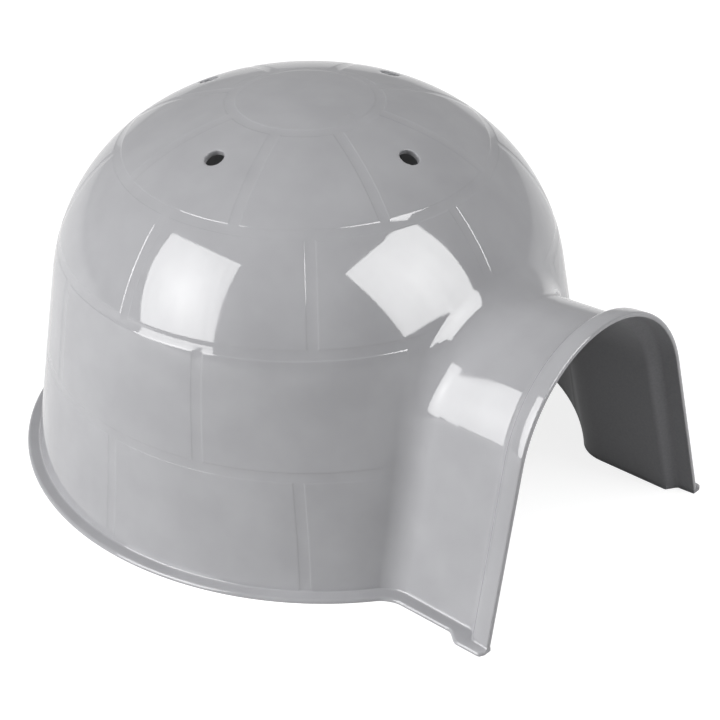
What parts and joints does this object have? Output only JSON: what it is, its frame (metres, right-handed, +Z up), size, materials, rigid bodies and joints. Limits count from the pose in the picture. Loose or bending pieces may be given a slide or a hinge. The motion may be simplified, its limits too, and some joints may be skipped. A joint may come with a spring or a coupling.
{
  "type": "rodent igloo",
  "caption": "Oval domed plastic shelter for small pets, open underneath, with a shallow block pattern, vents near the crown and an arched entrance tunnel.",
  "frame": {"origin": "on the floor, under the middle of the outer box", "axes": "+X out through the entrance, +Y across it, +Z up"},
  "size_m": [0.3278, 0.28, 0.186],
  "materials": {
    "moulded_plastic": "glossy moulded polypropylene, mid grey"
  },
  "bodies": {
    "root": {"base_flange": "moulded_plastic", "upright_wall": "moulded_plastic", "domed_roof": "moulded_plastic", "entrance_tunnel": "moulded_plastic", "entrance_collar": "moulded_plastic"}
  },
  "joints": []
}
